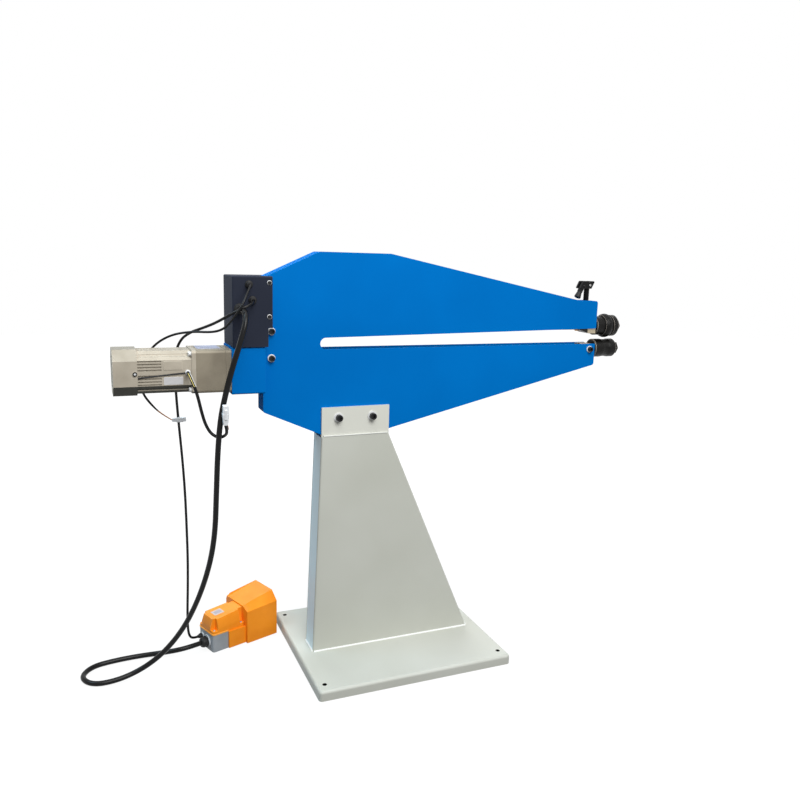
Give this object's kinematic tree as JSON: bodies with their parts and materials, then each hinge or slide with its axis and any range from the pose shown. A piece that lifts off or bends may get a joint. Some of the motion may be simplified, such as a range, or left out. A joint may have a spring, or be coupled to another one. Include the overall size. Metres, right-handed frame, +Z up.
{
  "type": "electric bead roller",
  "caption": "Motor-driven bead roller on a plate stand: long open throat, geared upper and lower shafts with dies, a pressure screw with folding crank, and a hooded foot switch on a cable.",
  "frame": {"origin": "on the floor, in the middle of the base plate and of its four anchor holes", "axes": "+X along the throat towards the dies, +Y to the far side, away from the picture's camera, +Z up"},
  "size_m": [1.617, 0.5153, 1.15],
  "materials": {
    "stand_paint": "smooth warm grey paint",
    "frame_paint": "glossy blue powder coat",
    "cover_paint": "fine charcoal powder coat",
    "black_bolt": "black oxide",
    "bright_steel": "ground",
    "block_steel": "milled, warm",
    "plain_steel": "turned",
    "bronze": "turned bronze",
    "die_steel": "black, turned",
    "crank_black": "black",
    "grip_black": "moulded",
    "motor_alloy": "cast, satin",
    "zinc_sheet": "zinc plated",
    "control_plastic": "moulded",
    "gland_plastic": "moulded",
    "cable_jacket": "smooth jacket",
    "plug_plastic": "moulded",
    "pedal_casting": "grey enamel on die casting",
    "pedal_cover": "orange enamel",
    "treadle_black": "black enamel"
  },
  "bodies": {
    "root": {"base_plate": "stand_paint", "stand_near_side": "stand_paint", "stand_far_side": "stand_paint", "stand_webs": "stand_paint", "stand_bolts": "black_bolt", "bolt_spacers": "plain_steel", "frame_near_plate": "frame_paint", "frame_far_plate": "frame_paint", "frame_top_strip": "frame_paint", "frame_bottom_strip": "frame_paint", "frame_rear_strip": "frame_paint", "lower_rear_bearing": "block_steel", "lower_front_bearing": "block_steel", "lower_bushes": "bronze", "bearing_bolts": "black_bolt", "pivot_bolts": "black_bolt", "screw_nut": "plain_steel", "motor_mount_box": "frame_paint", "gearbox": "motor_alloy", "motor_body": "motor_alloy", "fan_cover": "motor_alloy", "motor_screws": "plain_steel", "control_cover": "cover_paint", "control_chassis": "zinc_sheet", "cover_screws": "black_bolt", "speed_controller": "control_plastic", "cable_glands": "gland_plastic", "pedal_base": "pedal_casting", "pedal_lid": "pedal_cover", "pedal_hood": "pedal_cover", "pedal_glands": "gland_plastic", "treadle_pin": "plain_steel", "pedal_cable": "cable_jacket", "signal_cable": "cable_jacket", "tacho_cable": "cable_jacket", "motor_lead": "cable_jacket", "fan_lead": "cable_jacket", "lead_plugs": "plug_plastic"},
    "lower_drive": {"lower_shaft": "bright_steel", "lower_gear": "bright_steel", "lower_roller": "die_steel", "lower_die_nut": "die_steel", "drive_coupling": "plain_steel", "gearbox_shaft": "bright_steel"},
    "upper_head": {"upper_rear_bearing": "block_steel", "upper_front_bearing": "block_steel", "upper_bushes": "bronze", "lift_cap": "plain_steel"},
    "upper_drive": {"upper_shaft": "bright_steel", "upper_gear": "bright_steel", "upper_roller": "die_steel", "upper_die_nut": "die_steel"},
    "screw_carriage": {"screw_foot": "plain_steel"},
    "screw": {"pressure_screw": "crank_black", "crank_arm": "crank_black"},
    "grip": {"crank_grip": "grip_black"},
    "fan": {"cooling_fan": "control_plastic"},
    "knob": {"speed_knob": "control_plastic"},
    "selector": {"direction_selector": "control_plastic"},
    "treadle": {"treadle": "treadle_black"}
  },
  "joints": [
    {"name": "lower_spin", "type": "hinge", "parent": "root", "child": "lower_drive", "pos_m": [0, 0, 0.878], "axis": [1, 0, 0], "continuous": true},
    {"name": "upper_swing", "type": "hinge", "parent": "root", "child": "upper_head", "pos_m": [-0.359, 0, 0.944], "axis": [0, -1, 0], "range_deg": [-0.22, 0.86]},
    {"name": "upper_spin", "type": "hinge", "parent": "upper_head", "child": "upper_drive", "pos_m": [0, 0, 0.948], "axis": [1, 0, 0], "continuous": true},
    {"name": "screw_slide", "type": "slide", "parent": "root", "child": "screw_carriage", "axis": [0, 0, 1], "range_m": [-0.0038, 0.0151]},
    {"name": "screw_turn", "type": "hinge", "parent": "screw_carriage", "child": "screw", "pos_m": [0.636, 0, 1], "axis": [0, 0, 1], "range_deg": [-540, 2160]},
    {"name": "grip_fold", "type": "hinge", "parent": "screw", "child": "grip", "pos_m": [0.619, 0, 1.07], "axis": [0, 1, 0], "range_deg": [0, 152]},
    {"name": "fan_spin", "type": "hinge", "parent": "root", "child": "fan", "pos_m": [0, 0, 0.847], "axis": [1, 0, 0], "continuous": true},
    {"name": "speed_turn", "type": "hinge", "parent": "root", "child": "knob", "pos_m": [-0.423, 0.06, 1.057], "axis": [0, 1, 0], "range_deg": [-135, 135]},
    {"name": "direction_turn", "type": "hinge", "parent": "root", "child": "selector", "pos_m": [-0.423, 0.06, 1.021], "axis": [0, 1, 0], "range_deg": [-45, 45]},
    {"name": "treadle_press", "type": "hinge", "parent": "root", "child": "treadle", "pos_m": [-0.39938, 0.18025, 0.04], "axis": [-0.342, 0.9397, 0], "range_deg": [0, 8], "stiffness_Nm_per_rad": 2, "springref_deg": -5.73}
  ],
  "couplings": [
    {"joint": "upper_spin", "follows": "lower_spin", "ratio": -1},
    {"joint": "fan_spin", "follows": "lower_spin", "ratio": 30},
    {"joint": "screw_slide", "follows": "upper_swing", "m_per_rad": 0.995},
    {"joint": "screw_turn", "follows": "upper_swing", "ratio": 2500.7}
  ]
}
